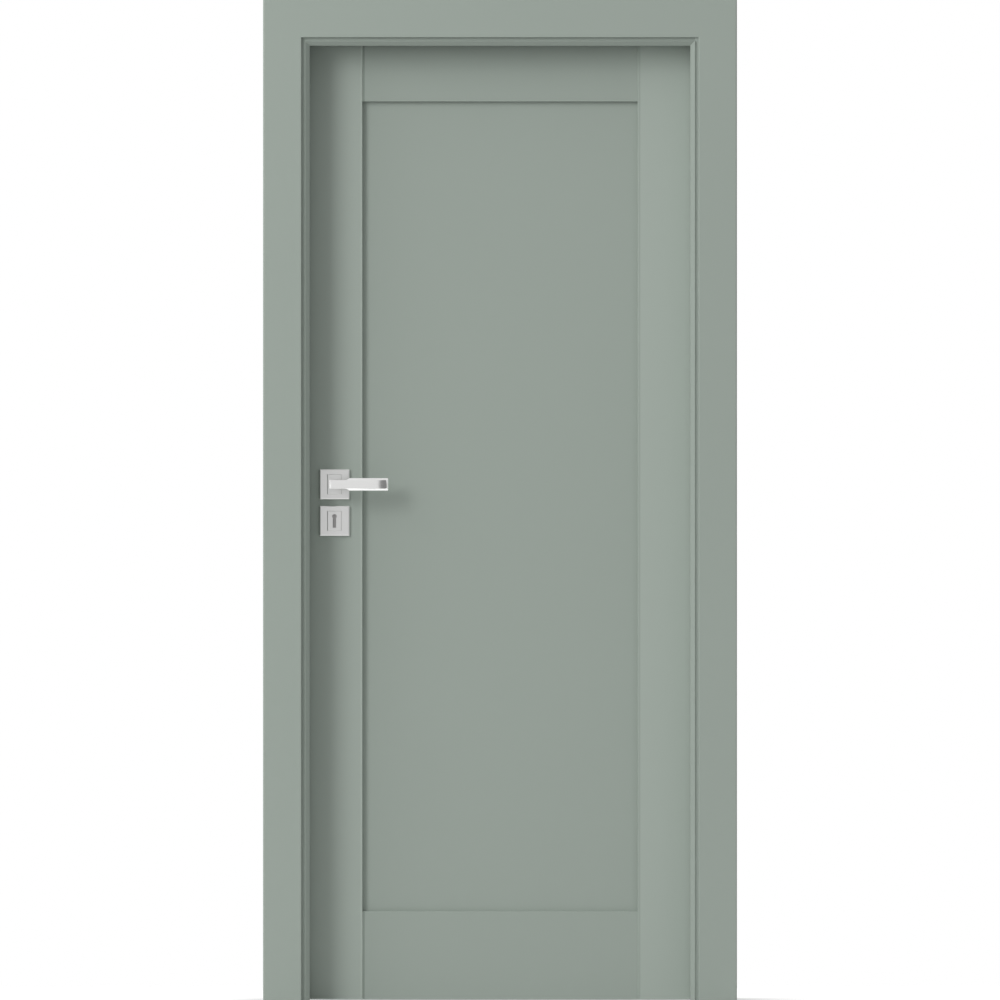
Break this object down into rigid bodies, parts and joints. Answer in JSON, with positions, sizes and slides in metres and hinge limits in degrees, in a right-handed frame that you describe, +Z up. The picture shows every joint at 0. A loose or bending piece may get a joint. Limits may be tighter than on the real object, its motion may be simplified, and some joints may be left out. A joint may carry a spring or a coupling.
{
  "type": "interior door with frame",
  "caption": "Painted interior door in its wall-wrapping frame: rebated leaf with a flat recessed panel, square-rose lever handle, keyhole plate and mortise lock.",
  "frame": {"origin": "floor level, midway across the frame's width and midway through the overall depth, from the push-side casing's face to the pull-side lever's face", "axes": "+X to the right and +Y away from someone on the push side, +Z up; the handle is at -X and the hinges are at +X"},
  "size_m": [0.998, 0.199, 2.11],
  "materials": {
    "sage_paint": "satin",
    "satin_chrome": "satin",
    "zinc_steel": "satin",
    "seal_rubber": "matte",
    "dowel_wood": "matte"
  },
  "bodies": {
    "frame": {"lock_jamb": "sage_paint", "hinge_jamb": "sage_paint", "head_jamb": "sage_paint", "front_casing_lock_side": "sage_paint", "front_casing_hinge_side": "sage_paint", "front_casing_head": "sage_paint", "back_casing_lock_side": "sage_paint", "back_casing_hinge_side": "sage_paint", "back_casing_head": "sage_paint", "seal_lock_side": "seal_rubber", "seal_hinge_side": "seal_rubber", "seal_head": "seal_rubber", "corner_dowels": "dowel_wood", "strike_plate": "satin_chrome", "strike_screws": "zinc_steel", "hinge_frame_top": "satin_chrome", "hinge_frame_middle": "satin_chrome", "hinge_frame_bottom": "satin_chrome", "hinge_pin_top": "zinc_steel", "hinge_pin_middle": "zinc_steel", "hinge_pin_bottom": "zinc_steel", "hinge_washer_top": "zinc_steel", "hinge_washer_middle": "zinc_steel", "hinge_washer_bottom": "zinc_steel"},
    "leaf": {"hinge_leaf_top": "satin_chrome", "hinge_leaf_middle": "satin_chrome", "hinge_leaf_bottom": "satin_chrome", "lock_stile": "sage_paint", "hinge_stile": "sage_paint", "top_rail": "sage_paint", "bottom_rail": "sage_paint", "panel": "sage_paint", "rail_dowels": "dowel_wood", "lock_case": "zinc_steel", "lock_cover": "zinc_steel", "lock_faceplate": "satin_chrome", "faceplate_screws": "zinc_steel", "rose_front": "satin_chrome", "rose_back": "satin_chrome", "rose_base_front": "zinc_steel", "rose_base_back": "zinc_steel", "rose_bolts": "zinc_steel", "key_plate_front": "satin_chrome", "key_plate_back": "satin_chrome", "key_base_front": "zinc_steel", "key_base_back": "zinc_steel", "key_plate_bolts": "zinc_steel", "key_guard": "seal_rubber"},
    "handle": {"follower": "zinc_steel", "lever_front": "satin_chrome", "lever_back": "satin_chrome", "spindle": "zinc_steel", "grub_screws": "zinc_steel"},
    "latch": {"latch_bolt": "satin_chrome"},
    "dead_bolt": {"dead_bolt": "satin_chrome"}
  },
  "joints": [
    {"name": "leaf_swing", "type": "hinge", "parent": "frame", "child": "leaf", "pos_m": [0.43, 0.034, 0], "axis": [0, 0, -1], "range_deg": [0, 170]},
    {"name": "lever_turn", "type": "hinge", "parent": "leaf", "child": "handle", "pos_m": [-0.349, 0.0215, 1.088], "axis": [0, 1, 0], "range_deg": [0, 40], "stiffness_Nm_per_rad": 1.2, "springref_deg": -34.38},
    {"name": "latch_slide", "type": "slide", "parent": "leaf", "child": "latch", "axis": [1, 0, 0], "range_m": [0, 0.0125]},
    {"name": "dead_bolt_slide", "type": "slide", "parent": "leaf", "child": "dead_bolt", "axis": [-1, 0, 0], "range_m": [0, 0.014]}
  ],
  "couplings": [
    {"joint": "latch_slide", "follows": "lever_turn", "m_per_rad": 0.017}
  ]
}
